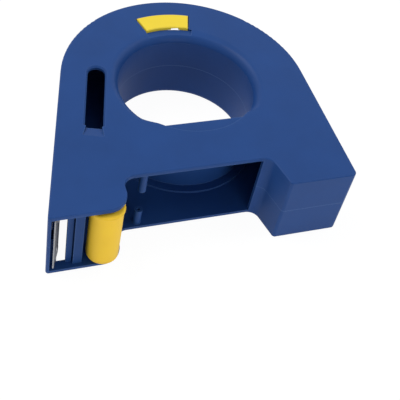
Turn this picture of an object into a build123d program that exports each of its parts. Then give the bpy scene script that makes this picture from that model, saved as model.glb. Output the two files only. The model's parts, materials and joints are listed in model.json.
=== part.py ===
# Hand-held masking tape applicator: two moulded half shells hinged along one straight side, a
# pressing roller and a toothed blade in the open foot, and a lift-up latch on the front face.
# The case lies on its rear face. +Z is the hub axis, +X runs along the feet and +Y points away
# from them. Heights are drawn from the rear face up, and the finished pieces are moved down so
# that the origin is the hub axis at the seam. Millimetres.
import os
from math import cos, hypot, pi, radians, sin, tan

from build123d import *

# Case
THICK = 42.4
WALL = 1.8
PLATE = 2.2
SEAM_Z = THICK / 2
CASE_R = 65.3
BASE_Y = -76.6
LEAN = 15.35
EDGE_R = 0.8

# Hub and grip bore
BORE_R = 35.8
HUB_R = 37.5
GRIP_FLAT_Y = -28.9
FLAT_DROP = 0.5
SEAT_R = 42.0
SEAT_RISE = 1.0
FLARE_R = 40.0
FLARE_X = 1.4
FLARE_Y = 3.0
FLARE_WIDE = 8.3
FLARE_DEEP = 4.0
REAR_FLARE = 3.5

# Notch between the feet
NOTCH_LEFT = -50.0
NOTCH_RIGHT = 25.2
NOTCH_FOOT = 29.4
NOTCH_Y = -58.2
NOTCH_R = 6.0
TOE_R = 10.2
FOOT_R = 2.6
HEEL_R = 1.4
CORNER_LEAST = 0.4
INNER_FOOT_R = 1.8
NOTCH_WALL_X = 22.0

# Spare roller sockets above the notch
POST_X = -38.0
POST_Y = -55.0
POST_R = 2.0
POST_HOLE_R = 0.8
POST_HOLE_DEEP = 3.0
REAR_POST_TOP = 12.0
FRONT_POST_TIP = 26.8

# Thumb slot in the front face and its ramp
SLOT_W = 9.0
SLOT_LOW = (-55.4, -24.2)
SLOT_LONG = 43.0
RAMP_LONG = 6.6
RAMP_W = 10.6
RAMP_THIN = 0.05

# Open foot: distances in from the outside of the leaning wall, and Y along it
SLIT_IN = (4.7, 8.8)
SLIT_Y = (-71.3, -44.0)
BAR_IN = (9.0, 11.8, 12.5, 16.8)
BAR_LOW_Y = -72.8
BAR_FACE_Y = -74.5
BAR_GROOVE_Y = -70.6
BAR_BACK_Y = -62.0
BAR_GAP = 0.4
SCREW_R = 1.4
SCREW_HEAD_R = 2.6
SCREW_HEAD_H = 1.3
SCREW_LONG = 9.0
SCREW_Y = (-71.0, -65.5)

# Blade and the strip that carries it
BLADE_TIP = (-85.1, -76.2)
BLADE_HEEL = (-80.9, -66.6)
BLADE_T = 0.6
BLADE_Z = (3.0, 39.4)
TOOTH_PITCH = 1.3
TOOTH_DEEP = 1.0
HOLDER_FROM = 4.2
RIVET_Z = (10.0, 32.4)
RIVET_R = 1.0
RIVET_HEAD_R = 1.8
RIVET_HEAD_H = 0.5
HOLDER_SWING = 1.3

# Pressing roller
ROLLER_X = -59.9
ROLLER_Y = -70.9
ROLLER_R = 8.0
FRONT_FLANGE_R = 8.5
REAR_FLANGE_R = 8.0
ROLLER_Z = (3.4, 39.0)
ROLLER_BORE_R = 6.4
CAP_T = 1.6
CAP_PLUG = 4.5
CAP_ROUND = 1.2
AXLE_R = 2.0
AXLE_Z = (0.9, 41.2)
RUN_GAP = 0.05
BOSS_R = 4.2
BOSS_RISE = 0.8
SOCKET_SLACK = 0.9

# Side hinge
HINGE_X = CASE_R + 2.9
KNUCKLE_R = 2.6
HINGE_PIN_R = 1.2
HINGE_Y = (-60.0, -8.0)
KNUCKLES = 5
KNUCKLE_GAP = 0.3

# Latch, drawn straight above the hub and then turned to its place
LATCH_TURN = -1.5
LATCH_HALF = 16.05
LATCH_R = (42.3, 53.3)
LATCH_PROUD = 0.8
PAD_T = 1.8
PAD_UNDERCUT = 1.4
LATCH_GAP = 0.45
FINGER_GAP = 0.1
STEP_FROM = 69.5
STEP_TO = 105.5
STEP_DEEP = 5.1
PIVOT_R = 57.5
PIVOT_Z = 37.4
PIN_R = 1.2
BARREL_R = 2.3
LEVER_HALF = 7.5
ARM_TOP = 39.0
ARM_LOW = 36.2
NECK_Y = (50.4, 52.0)
LEG_Y = (59.9, 61.4)
LEG_LOW = 22.6
NOSE_Z = (23.4, 26.6)
NOSE_R = 65.0
EAR_T = 1.8
EAR_LOW = 34.8
EAR_HALF = 2.6
EAR_GAP = 0.5
SPRING_ROOM = 3.1
WIRE_R = 0.28
LEG_R = 0.27
BEAD_R = 0.31
COIL_R = 1.9
COIL_PITCH = 0.72
COIL_TURNS = 2.75
COIL_GAP = 0.45
LEG_BEND_Y = 53.4
LEG_HOOK = 1.6
NAIL_W = 4.3
NAIL_X = 4.7
NAIL_H = 2.0
NAIL_SLOPE = 39
NAIL_Z = 41.4

# Catch clip that the latch nose snaps into
CLIP_R = (62.5, 63.2)
CLIP_HALF = 16.6
CLIP_Z = (8.0, 29.4)
EYE_HALF = 14.0
EYE_Z = (22.3, 27.1)
CATCH_CUT_TOP = 27.6
CATCH_CUT_HALF = 14.4
CLIP_RIVET_HALF = 9.0
CLIP_RIVET_Z = 13.5
CLIP_RIVET_R = 1.5
CLIP_HEAD_R = 2.4
CLIP_HEAD_H = 0.7

BIG = 200.0
LEAN_C = cos(radians(LEAN))
LEAN_S = sin(radians(LEAN))


def in_from_side(inset, y):
    """Point at a height y, a distance in from the outside of the leaning wall."""
    return ((inset - CASE_R + LEAN_S * y) / LEAN_C, y)


def polygon(points):
    return make_face(Polyline(*points, close=True))


def prism(face, z0, z1):
    return Pos(0, 0, z0) * extrude(face, z1 - z0, dir=(0, 0, 1))


def disc(r, z0, z1, x=0.0, y=0.0):
    return Pos(x, y, z0) * Cylinder(r, z1 - z0, align=(Align.CENTER, Align.CENTER, Align.MIN))


def block(x0, x1, y0, y1, z0, z1):
    return Pos((x0 + x1) / 2, (y0 + y1) / 2, (z0 + z1) / 2) * Box(x1 - x0, y1 - y0, z1 - z0)


def sector(r0, r1, a0, a1, z0, z1):
    """Ring sector between two radii and two angles, in degrees."""
    inner = CenterArc((0, 0), r0, a0, a1 - a0)
    outer = CenterArc((0, 0), r1, a0, a1 - a0)
    face = make_face([inner, outer, Line(inner @ 0, outer @ 0), Line(inner @ 1, outer @ 1)])
    return prism(face, z0, z1)


def case_outline(inset=0.0):
    """Arch with a straight right side and a leaning left side, without the notch."""
    r = CASE_R - inset
    base = BASE_Y + inset
    left_top = (-r * LEAN_C, r * LEAN_S)
    corner = in_from_side(inset, base)
    arch = CenterArc((0, 0), r, 0, 180 - LEAN)
    lines = [
        arch,
        Line(left_top, corner),
        Line(corner, (r, base)),
        Line((r, base), (r, 0)),
    ]
    face = make_face(lines)
    for x, y, radius in ((r, base, FOOT_R), (*corner, HEEL_R)):
        face = fillet([near(face, x, y)], max(radius - inset, CORNER_LEAST))
    return face


def near(sketch, x, y):
    return sketch.vertices().sort_by_distance((x, y, 0))[0]


def notch(spread=0.0):
    """Gap between the feet, open downwards and rounded at its two upper corners."""
    face = polygon([
        (NOTCH_LEFT - spread, BASE_Y - 20),
        (NOTCH_LEFT - spread, NOTCH_Y + spread),
        (NOTCH_RIGHT + spread, NOTCH_Y + spread),
        (NOTCH_FOOT + spread, BASE_Y),
        (NOTCH_FOOT + spread, BASE_Y - 20),
    ])
    tops = [near(face, NOTCH_LEFT, NOTCH_Y), near(face, NOTCH_RIGHT, NOTCH_Y)]
    return fillet(tops, NOTCH_R + spread)


def plate(z0, z1):
    face = case_outline() - notch()
    face = fillet([near(face, NOTCH_LEFT, BASE_Y)], TOE_R)
    face = fillet([near(face, NOTCH_FOOT, BASE_Y)], INNER_FOOT_R)
    return prism(face, z0, z1)


def walls(z0, z1):
    """Outer wall, the end of the right foot and its side towards the notch."""
    throat = polygon([
        in_from_side(WALL, BASE_Y - 10),
        in_from_side(WALL, BASE_Y + 8),
        (NOTCH_LEFT + 10, BASE_Y + 8),
        (NOTCH_LEFT + 10, BASE_Y - 10),
    ])
    ring = case_outline() - case_outline(WALL) - throat - notch()
    side = (notch(WALL) - notch()) & Pos(NOTCH_WALL_X + BIG / 2, 0) * Rectangle(BIG, BIG)
    section = ring + (side & case_outline())
    return prism(fillet([near(section, NOTCH_FOOT, BASE_Y)], INNER_FOOT_R), z0, z1)


def bore(z0, z1):
    """Grip bore with its flat on the side of the feet."""
    top = block(-BIG, BIG, GRIP_FLAT_Y, BIG, z0, z1)
    return disc(BORE_R, z0, z1) & top


def flare(x, y, r, wide, deep, z, way):
    """Rounded mouth of a bore: what is cut away, on the face at z that looks along way."""
    flat = Pos(r / 2, z - way * deep / 2 + way) * Rectangle(r, deep + 2)
    flat = flat - Pos(r, z - way * deep) * Ellipse(wide, deep)
    return Pos(x, y, 0) * revolve(Plane.XZ * flat, Axis.Z)


def lean_box(inset0, inset1, y0, y1, z0, z1):
    return prism(polygon([
        in_from_side(inset0, y0),
        in_from_side(inset1, y0),
        in_from_side(inset1, y1),
        in_from_side(inset0, y1),
    ]), z0, z1)


def knuckle(index):
    step = (HINGE_Y[1] - HINGE_Y[0]) / KNUCKLES
    low = HINGE_Y[0] + index * step + KNUCKLE_GAP / 2
    return low, low + step - KNUCKLE_GAP


def along_y(r, y0, y1, x, z):
    return Pos(x, (y0 + y1) / 2, z) * Rot(90, 0, 0) * Cylinder(r, y1 - y0)


def hinge_leaf(first, web_z0, web_z1, hole_r):
    """Knuckles of one shell, each with the web that joins it to the side wall."""
    leaf = None
    for index in range(first, KNUCKLES, 2):
        y0, y1 = knuckle(index)
        web = block(CASE_R - WALL / 2, HINGE_X, y0, y1, web_z0, web_z1)
        barrel = along_y(KNUCKLE_R, y0, y1, HINGE_X, SEAM_Z)
        one = barrel + web - along_y(hole_r, y0 - 1, y1 + 1, HINGE_X, SEAM_Z)
        leaf = one if leaf is None else leaf + one
    return leaf


def turned(shape):
    return Rot(0, 0, LATCH_TURN) * shape


def around_top(half):
    return 90 - half, 90 + half


def clip_rivet_axis(angle, r0, r1, radius):
    """Cylinder along a radius of the case, at the rivets' height."""
    rod = Pos((r0 + r1) / 2, 0, CLIP_RIVET_Z) * Rot(0, 90, 0) * Cylinder(radius, r1 - r0)
    return turned(Rot(0, 0, 90 + angle) * rod)


def bar_screw_places():
    middle = (BAR_IN[2] + BAR_IN[3]) / 2
    return [in_from_side(middle, y) for y in SCREW_Y]


def countersink():
    """Flat head of a bar screw, widest at the rear face."""
    return Cone(SCREW_HEAD_R, SCREW_R, SCREW_HEAD_H, align=(Align.CENTER, Align.CENTER, Align.MIN))


def post(z0, z1, hole_z0, hole_z1):
    return disc(POST_R, z0, z1, POST_X, POST_Y) - disc(POST_HOLE_R, hole_z0, hole_z1, POST_X, POST_Y)


def hub_blank(z0, z1):
    return disc(HUB_R, z0, z1)


def rear_shell():
    shell = plate(0, PLATE)
    rim = shell.edges().group_by(Axis.Z)[0]
    shell = fillet([edge for edge in rim if edge.length > TOE_R], EDGE_R)
    shell = shell + walls(PLATE / 2, SEAM_Z)
    shell = shell + hub_blank(0.5, SEAM_Z)
    shell = shell + disc(SEAT_R, PLATE / 2, PLATE + SEAT_RISE)
    shell = shell - bore(-1, SEAM_Z + 1)
    shell = shell - flare(0, 0, BORE_R + REAR_FLARE, REAR_FLARE, REAR_FLARE, 0, -1)
    shell = shell + post(PLATE / 2, REAR_POST_TOP, REAR_POST_TOP - POST_HOLE_DEEP, REAR_POST_TOP + 1)
    shell = shell + disc(BOSS_R, PLATE / 2, PLATE + BOSS_RISE, ROLLER_X, ROLLER_Y)
    shell = shell - disc(AXLE_R, AXLE_Z[0], PLATE + 5, ROLLER_X, ROLLER_Y)
    shell = shell - lean_box(*SLIT_IN, *SLIT_Y, -1, PLATE + 1)
    for x, y in bar_screw_places():
        shell = shell - Pos(x, y, 0) * countersink() - disc(SCREW_R, 0, PLATE + 1, x, y)
    shell = shell + hinge_leaf(0, SEAM_Z - KNUCKLE_R, SEAM_Z, HINGE_PIN_R)
    for side in (-1, 1):
        shell = shell - clip_rivet_axis(side * CLIP_RIVET_HALF, CLIP_R[0], CASE_R + 1, CLIP_RIVET_R)
    return shell


def thumb_slot():
    """Round-topped slot that follows the leaning side."""
    straight = SLOT_LONG - SLOT_W / 2
    flat = Pos(0, straight / 2) * Rectangle(SLOT_W, straight)
    flat = flat + Pos(0, straight) * Circle(SLOT_W / 2)
    return Pos(*SLOT_LOW, 0) * Rot(0, 0, -LEAN) * prism(flat, THICK - PLATE - 1, THICK + 1)


def thumb_ramp():
    """Ramp that falls from the face to the lower end of the slot, and widens away from it."""
    deep_end = Plane(origin=(0, 0.2, THICK), x_dir=(1, 0, 0), z_dir=(0, 1, 0))
    thin_end = Plane(origin=(0, -RAMP_LONG, THICK), x_dir=(1, 0, 0), z_dir=(0, 1, 0))
    deep = deep_end * Rectangle(SLOT_W - 1.2, 2 * (PLATE - 0.4))
    thin = thin_end * Rectangle(RAMP_W, 2 * RAMP_THIN)
    return Pos(*SLOT_LOW, 0) * Rot(0, 0, -LEAN) * loft([thin, deep])


def latch_ears():
    """Two ears under the front face that hold the latch pin."""
    low = -LEVER_HALF - EAR_GAP
    high = LEVER_HALF + SPRING_ROOM
    ears = None
    for x0 in (low - EAR_T, high):
        ear = block(x0, x0 + EAR_T, PIVOT_R - EAR_HALF, PIVOT_R + EAR_HALF, EAR_LOW, THICK - PLATE / 2)
        ears = ear if ears is None else ears + ear
    return ears - pin_rod(PIN_R)


def pin_rod(radius):
    """Rod on the latch pivot, through both ears."""
    x0 = -LEVER_HALF - EAR_GAP - EAR_T
    x1 = LEVER_HALF + SPRING_ROOM + EAR_T
    return Pos((x0 + x1) / 2, PIVOT_R, PIVOT_Z) * Rot(0, 90, 0) * Cylinder(radius, x1 - x0)


def front_shell():
    shell = plate(THICK - PLATE, THICK)
    rim = shell.edges().group_by(Axis.Z)[-1]
    shell = fillet([edge for edge in rim if edge.length > TOE_R], EDGE_R)
    shell = shell + walls(SEAM_Z, THICK - PLATE / 2)
    shell = shell + hub_blank(SEAM_Z, THICK - 0.6)
    shell = shell + disc(SEAT_R, THICK - PLATE - SEAT_RISE, THICK - PLATE / 2)
    shell = shell - bore(SEAM_Z - 1, THICK + 1) - disc(BORE_R, THICK - FLAT_DROP, THICK + 1)
    shell = shell - flare(FLARE_X, FLARE_Y, FLARE_R, FLARE_WIDE, FLARE_DEEP, THICK, 1)
    shell = shell + post(FRONT_POST_TIP, THICK - PLATE / 2, FRONT_POST_TIP - 1,
                         FRONT_POST_TIP + POST_HOLE_DEEP)
    finger = sector(BORE_R - 3, LATCH_R[0] + FINGER_GAP, STEP_FROM, STEP_TO, THICK - STEP_DEEP, THICK + 1)
    shell = shell - finger
    reach = degrees_for(LATCH_GAP, LATCH_R[0])
    a0, a1 = around_top(LATCH_HALF + reach)
    window = sector(LATCH_R[0] - FINGER_GAP, LATCH_R[1] + LATCH_GAP, a0, a1, THICK - 8, THICK + 1)
    shell = shell - turned(window) + turned(latch_ears())
    c0, c1 = around_top(CATCH_CUT_HALF)
    shell = shell - turned(sector(CASE_R - 4, CASE_R + 1, c0, c1, SEAM_Z - 1, CATCH_CUT_TOP))
    shell = shell - thumb_slot() - thumb_ramp()
    shell = shell + disc(BOSS_R, THICK - PLATE - BOSS_RISE, THICK - PLATE / 2, ROLLER_X, ROLLER_Y)
    shell = shell - axle_socket()
    return shell + hinge_leaf(1, SEAM_Z, SEAM_Z + KNUCKLE_R, HINGE_PIN_R + RUN_GAP)


def degrees_for(length, radius):
    return length / radius * 180 / pi


def axle_socket():
    """Socket for the free end of the axle, long towards the foot so that the shell swings off."""
    top = THICK - 0.9
    low = THICK - PLATE - BOSS_RISE - 1
    radius = AXLE_R + RUN_GAP
    round_end = disc(radius, low, top, ROLLER_X, ROLLER_Y)
    far_end = disc(radius, low, top, ROLLER_X - SOCKET_SLACK, ROLLER_Y)
    between = block(ROLLER_X - SOCKET_SLACK, ROLLER_X, ROLLER_Y - radius, ROLLER_Y + radius, low, top)
    return round_end + far_end + between


def guide_bar():
    """Stepped bar beside the roller that the cut end of the tape rests on."""
    a, b, c, d = BAR_IN
    section = polygon([
        in_from_side(a, BAR_LOW_Y),
        in_from_side(b, BAR_LOW_Y),
        in_from_side(b, BAR_GROOVE_Y),
        in_from_side(c, BAR_GROOVE_Y),
        in_from_side(c, BAR_FACE_Y),
        in_from_side(d, BAR_FACE_Y),
        in_from_side(d, BAR_BACK_Y),
        in_from_side(c, BAR_BACK_Y),
        in_from_side(c, BAR_GROOVE_Y + 3),
        in_from_side(a, BAR_GROOVE_Y + 3),
    ])
    bar = prism(section, PLATE, THICK - PLATE - BAR_GAP)
    for x, y in bar_screw_places():
        bar = bar - disc(SCREW_R, 0, SCREW_LONG, x, y)
    return bar


def bar_screws():
    """Two countersunk screws that hold the guide bar from behind."""
    screws = []
    for x, y in bar_screw_places():
        slot = block(-0.35, 0.35, -1.9, 1.9, -1, 0.6)
        head = countersink() + disc(SCREW_R, 0, SCREW_LONG) - slot
        screws.append(Pos(x, y, 0) * head)
    return Compound(children=screws)


def blade_frame():
    """Frame on the blade's tooth edge: x towards its heel, y along the edge, z out of its face."""
    dx = BLADE_HEEL[0] - BLADE_TIP[0]
    dy = BLADE_HEEL[1] - BLADE_TIP[1]
    return Plane(origin=(*BLADE_TIP, 0), x_dir=(dx, dy, 0), z_dir=(dy, -dx, 0))


def blade_depth():
    return hypot(BLADE_HEEL[0] - BLADE_TIP[0], BLADE_HEEL[1] - BLADE_TIP[1])


def across_blade(z):
    """Height z in the blade's own frame, whose y axis may point either way."""
    return z * (1 if blade_frame().y_dir.Z > 0 else -1)


def cutter_blade():
    deep = blade_depth()
    count = int((BLADE_Z[1] - BLADE_Z[0]) / TOOTH_PITCH)
    points = [(deep, across_blade(BLADE_Z[0])), (TOOTH_DEEP, across_blade(BLADE_Z[0]))]
    for tooth in range(count):
        z = BLADE_Z[0] + tooth * TOOTH_PITCH
        points.append((0, across_blade(z + TOOTH_PITCH / 2)))
        points.append((TOOTH_DEEP, across_blade(z + TOOTH_PITCH)))
    points.append((deep, across_blade(BLADE_Z[0] + count * TOOTH_PITCH)))
    blade = extrude(blade_frame() * polygon(points), BLADE_T / 2, both=True)
    return blade - blade_rivet_rods(RIVET_R)


def blade_rivet_rods(radius):
    middle = (HOLDER_FROM + blade_depth()) / 2
    rods = None
    for z in RIVET_Z:
        rod = extrude(blade_frame() * Pos(middle, across_blade(z)) * Circle(radius), 6, both=True)
        rods = rod if rods is None else rods + rod
    return rods


def blade_holder():
    """Wedge strip between the leaning wall and the blade."""
    frame = blade_frame()
    back = -BLADE_T / 2
    p = frame.from_local_coords((HOLDER_FROM, 0, back))
    q = frame.from_local_coords((blade_depth(), 0, back))
    section = polygon([
        in_from_side(WALL, p.Y),
        (p.X, p.Y),
        (q.X, q.Y),
        in_from_side(WALL, q.Y),
    ])
    strip = prism(section, PLATE, THICK - PLATE - BAR_GAP)
    swing = lean_box(0, WALL + HOLDER_SWING, BASE_Y, q.Y + 5, SEAM_Z - 0.3, THICK)
    return strip - swing - blade_rivet_rods(RIVET_R)


def blade_rivets():
    middle = (HOLDER_FROM + blade_depth()) / 2
    rivets = []
    for z in RIVET_Z:
        place = blade_frame() * Pos(middle, across_blade(z))
        head = extrude(place * Pos(0, 0, BLADE_T / 2) * Circle(RIVET_HEAD_R), RIVET_HEAD_H)
        shank = extrude(place * Pos(0, 0, -BLADE_T / 2 - 0.9) * Circle(RIVET_R), BLADE_T + 0.9)
        rivets.append(head + shank)
    return Compound(children=rivets)


def roller_sleeve():
    low = ROLLER_Z[0] + CAP_T
    high = ROLLER_Z[1] - CAP_T
    return disc(ROLLER_R, low, high, ROLLER_X, ROLLER_Y) - disc(ROLLER_BORE_R, 0, THICK, ROLLER_X, ROLLER_Y)


def roller_cap(flange_r):
    """End cap with its outer face at z = 0: a flange with a plug that fills the sleeve's bore."""
    flange = disc(flange_r, 0, CAP_T)
    flange = fillet(flange.edges().group_by(Axis.Z)[0], CAP_ROUND)
    plug = disc(ROLLER_BORE_R, 0, CAP_T + CAP_PLUG) - disc(ROLLER_BORE_R - 1.4, CAP_T, BIG)
    hub = disc(AXLE_R + 1.6, 0, CAP_T + CAP_PLUG)
    return flange + plug + hub - disc(AXLE_R + RUN_GAP, -1, BIG)


def roller_cap_rear():
    return Pos(ROLLER_X, ROLLER_Y, ROLLER_Z[0]) * roller_cap(REAR_FLANGE_R)


def roller_cap_front():
    return Pos(ROLLER_X, ROLLER_Y, ROLLER_Z[1]) * Rot(180, 0, 0) * roller_cap(FRONT_FLANGE_R)


def roller_axle():
    axle = disc(AXLE_R, *AXLE_Z, ROLLER_X, ROLLER_Y)
    return chamfer(axle.edges().group_by(Axis.Z)[-1], 0.5)


def hinge_pin():
    y0 = knuckle(0)[0]
    y1 = knuckle(KNUCKLES - 1)[1]
    return along_y(HINGE_PIN_R, y0, y1, HINGE_X, SEAM_Z)


def catch_clip():
    """Curved spring strip inside the rear shell's wall, with the eye that takes the latch nose."""
    a0, a1 = around_top(CLIP_HALF)
    clip = sector(*CLIP_R, a0, a1, *CLIP_Z)
    e0, e1 = around_top(EYE_HALF)
    clip = turned(clip - sector(CLIP_R[0] - 1, CLIP_R[1] + 1, e0, e1, *EYE_Z))
    for side in (-1, 1):
        clip = clip - clip_rivet_axis(side * CLIP_RIVET_HALF, CLIP_R[0] - 1, CASE_R, CLIP_RIVET_R)
    return clip


def clip_rivets():
    rivets = []
    for side in (-1, 1):
        angle = side * CLIP_RIVET_HALF
        shank = clip_rivet_axis(angle, CLIP_R[0] - 0.6, CASE_R + 0.2, CLIP_RIVET_R)
        head = clip_rivet_axis(angle, CASE_R + 0.02, CASE_R + CLIP_HEAD_H, CLIP_HEAD_R)
        rivets.append(shank + head)
    return Compound(children=rivets)


def latch_pad():
    """Ring sector flush with the front face, its outer side cut under so that it can tip up."""
    a0, a1 = around_top(LATCH_HALF)
    top = THICK + LATCH_PROUD
    pad = sector(*LATCH_R, a0, a1, top - PAD_T, top)
    pad = chamfer(pad.edges().group_by(Axis.Z)[-1], 0.4)
    under = Pos(LATCH_R[1], top - PAD_T) * polygon([
        (0.5, 0), (-PAD_UNDERCUT, 0), (0, PAD_T - 0.8), (0.5, PAD_T - 0.8),
    ])
    pad = pad - revolve(Plane.XZ * under, Axis.Z)
    relief = Pos(NAIL_X, LATCH_R[0] - 0.6, NAIL_Z) * Rot(-NAIL_SLOPE, 0, 0) * Box(NAIL_W, 8, NAIL_H)
    return pad - relief


def latch():
    """One lever: pad, neck through the face, pivot barrel, leg and nose."""
    half = LEVER_HALF
    lever = latch_pad()
    lever = lever + block(-half, half, *NECK_Y, ARM_LOW, THICK - 0.8)
    lever = lever + block(-half, half, NECK_Y[0], PIVOT_R, ARM_LOW, ARM_TOP)
    barrel = Pos(0, PIVOT_R, PIVOT_Z) * Rot(0, 90, 0) * Cylinder(BARREL_R, 2 * half)
    lever = lever + barrel
    lever = lever + block(-half, half, PIVOT_R, LEG_Y[1], ARM_LOW, PIVOT_Z + 1.0)
    lever = lever + block(-half, half, *LEG_Y, LEG_LOW, PIVOT_Z)
    nose = block(-half, half, LEG_Y[0], CASE_R, *NOSE_Z) & disc(NOSE_R, 0, THICK)
    slope = Pos(0, NOSE_R, NOSE_Z[0]) * Rot(40, 0, 0) * Box(BIG, 2.6, 1.6)
    lever = lever + (nose - slope)
    hole = Pos(0, PIVOT_R, PIVOT_Z) * Rot(0, 90, 0) * Cylinder(PIN_R + RUN_GAP, BIG)
    return turned(lever - hole)


def latch_pin():
    return turned(pin_rod(PIN_R))


def latch_spring():
    """Torsion spring beside the lever: one leg over the lever's arm, one up to the face."""
    x0 = LEVER_HALF + COIL_GAP
    x1 = x0 + COIL_PITCH * COIL_TURNS
    over = PIVOT_Z + COIL_R
    helix = Helix(COIL_PITCH, COIL_PITCH * COIL_TURNS, COIL_R, lefthand=True)
    helix = Pos(x0, PIVOT_R, PIVOT_Z) * Rot(0, 90, 0) * Rot(0, 0, 180) * helix
    section = Plane(origin=helix @ 0, z_dir=helix % 0) * Circle(WIRE_R)
    spring = sweep(section, path=helix)
    up_y = PIVOT_R - COIL_R
    spring = spring + Pos(x0, PIVOT_R, over) * Sphere(BEAD_R) + Pos(x1, up_y, PIVOT_Z) * Sphere(BEAD_R)
    bend = Pos(x0, LEG_BEND_Y, over)
    leg_long = PIVOT_R - LEG_BEND_Y
    spring = spring + bend * Sphere(LEG_R) + bend * Rot(-90, 0, 0) * wire(leg_long)
    spring = spring + bend * Rot(0, -90, 0) * wire(LEG_HOOK)
    spring = spring + Pos(x1, up_y, PIVOT_Z) * wire(THICK - PLATE - PIVOT_Z)
    return turned(spring)


def wire(length):
    return Cylinder(LEG_R, length, align=(Align.CENTER, Align.CENTER, Align.MIN))


PIECES = {
    "rear_shell": rear_shell,
    "front_shell": front_shell,
    "guide_bar": guide_bar,
    "bar_screws": bar_screws,
    "blade_holder": blade_holder,
    "cutter_blade": cutter_blade,
    "blade_rivets": blade_rivets,
    "roller_sleeve": roller_sleeve,
    "roller_cap_front": roller_cap_front,
    "roller_cap_rear": roller_cap_rear,
    "roller_axle": roller_axle,
    "hinge_pin": hinge_pin,
    "catch_clip": catch_clip,
    "clip_rivets": clip_rivets,
    "latch": latch,
    "latch_pin": latch_pin,
    "latch_spring": latch_spring,
}

os.makedirs("parts", exist_ok=True)
for name, make in PIECES.items():
    solids = [Pos(0, 0, -SEAM_Z) * solid for solid in make().solids()]
    piece = solids[0] if len(solids) == 1 else Compound(children=solids)
    export_step(piece, f"parts/{name}.step")
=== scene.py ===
# %% [markdown]
# # A masking tape applicator, dressed from its solids
# The solids of this tool were drawn in a CAD script and packed into one model. Here they are
# loaded as a fixed frame. Blender adds what a solid has not got: rounded moulded edges, plastic
# and steel, soft light and a camera. Nothing is moved, so the hinge, latch and roller still work.

# %% Load the frame
import json
import math
import bmesh
import bpy
from mathutils import Matrix, Vector


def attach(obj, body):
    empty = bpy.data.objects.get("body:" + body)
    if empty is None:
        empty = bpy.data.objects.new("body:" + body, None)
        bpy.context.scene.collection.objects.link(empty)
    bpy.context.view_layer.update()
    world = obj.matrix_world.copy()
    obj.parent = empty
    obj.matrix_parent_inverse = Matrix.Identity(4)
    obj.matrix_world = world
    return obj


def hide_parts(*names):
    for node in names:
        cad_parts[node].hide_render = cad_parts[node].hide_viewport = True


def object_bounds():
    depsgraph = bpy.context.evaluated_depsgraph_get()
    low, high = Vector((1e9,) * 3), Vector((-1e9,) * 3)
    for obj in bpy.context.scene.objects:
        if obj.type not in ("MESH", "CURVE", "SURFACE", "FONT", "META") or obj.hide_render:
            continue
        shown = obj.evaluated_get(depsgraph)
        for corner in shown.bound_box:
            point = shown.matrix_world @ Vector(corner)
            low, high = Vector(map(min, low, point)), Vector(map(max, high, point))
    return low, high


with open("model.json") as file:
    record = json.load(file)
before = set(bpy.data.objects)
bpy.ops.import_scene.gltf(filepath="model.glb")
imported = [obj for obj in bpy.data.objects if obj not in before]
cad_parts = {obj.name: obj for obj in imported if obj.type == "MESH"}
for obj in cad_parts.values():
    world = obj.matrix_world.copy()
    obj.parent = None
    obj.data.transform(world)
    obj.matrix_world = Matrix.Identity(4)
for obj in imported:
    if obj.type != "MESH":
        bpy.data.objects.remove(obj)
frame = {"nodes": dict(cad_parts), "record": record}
cad_low, cad_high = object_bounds()
nodes = frame["nodes"]
body_of_node = {}
for body, names in frame["record"]["behaviour"]["bodies"].items():
    for name in names:
        body_of_node[name] = body
print("pieces:", sorted(nodes))

# %% [markdown]
# ## Camera
# A camera is its place, the way it is turned, and its lens. The photograph was solved for these
# from the hub's circle and the straight edges of the case. An unturned camera looks straight down,
# so the three angles tip it up, lean it sideways and swing it round.

# %% Camera
EYE = Vector((-0.145898, -0.314056, 0.328971))
TURN_DEG = (40.2254, -9.1361, -17.8099)
LENS_MM = 79.49
SENSOR_MM = 36.0

camera_data = bpy.data.cameras.new("camera")
camera_data.lens = LENS_MM
camera_data.sensor_width = SENSOR_MM
camera_data.clip_start = 0.01
camera = bpy.data.objects.new("camera", camera_data)
bpy.context.scene.collection.objects.link(camera)
camera.location = EYE
camera.rotation_euler = [math.radians(angle) for angle in TURN_DEG]
bpy.context.scene.camera = camera
print("camera", round(EYE.length, 3), "m from the hub")

# %% [markdown]
# ## Floor, sky and lamps
# The tool lies on white paper under large soft lamps. The white that the camera sees comes from
# the colour of the paper and the sky, through Light Path, and not from stronger lamps, which would
# bleach the blue. The paper keeps a part of its own shading, so the shadow stays. To all other rays
# the paper is brighter than it looks, as a lit table is, and it lightens the faces above it.

# %% Paper material
MM = 0.001
FLOOR_GAP = 0.2 * MM
FLOOR_Z = cad_low.z - FLOOR_GAP
FLOOR_HALF = 3.0
PAPER = (0.9, 0.9, 0.9, 1)
WHITE = (1, 1, 1, 1)
# Each pair is the value for the camera and the value for all other rays.
GLOW_SHARE = (0.90, 0.35)
GLOW_STRENGTH = (1.06, 1.4)


def new_material(name):
    """An empty node material and its tree."""
    material = bpy.data.materials.new(name)
    material.use_nodes = True
    material.node_tree.nodes.clear()
    return material, material.node_tree


paper, tree = new_material("white_paper")
out = tree.nodes.new("ShaderNodeOutputMaterial")
mix = tree.nodes.new("ShaderNodeMixShader")
diffuse = tree.nodes.new("ShaderNodeBsdfDiffuse")
diffuse.inputs["Color"].default_value = PAPER
glow = tree.nodes.new("ShaderNodeEmission")
glow.inputs["Color"].default_value = WHITE
rays = tree.nodes.new("ShaderNodeLightPath")
glow_rules = ((mix.inputs["Fac"], GLOW_SHARE), (glow.inputs["Strength"], GLOW_STRENGTH))
for socket, (seen, unseen) in glow_rules:
    choice = tree.nodes.new("ShaderNodeMath")
    choice.operation = "MULTIPLY_ADD"
    choice.inputs[1].default_value = seen - unseen
    choice.inputs[2].default_value = unseen
    tree.links.new(rays.outputs["Is Camera Ray"], choice.inputs[0])
    tree.links.new(choice.outputs[0], socket)
tree.links.new(diffuse.outputs[0], mix.inputs[1])
tree.links.new(glow.outputs[0], mix.inputs[2])
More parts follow.
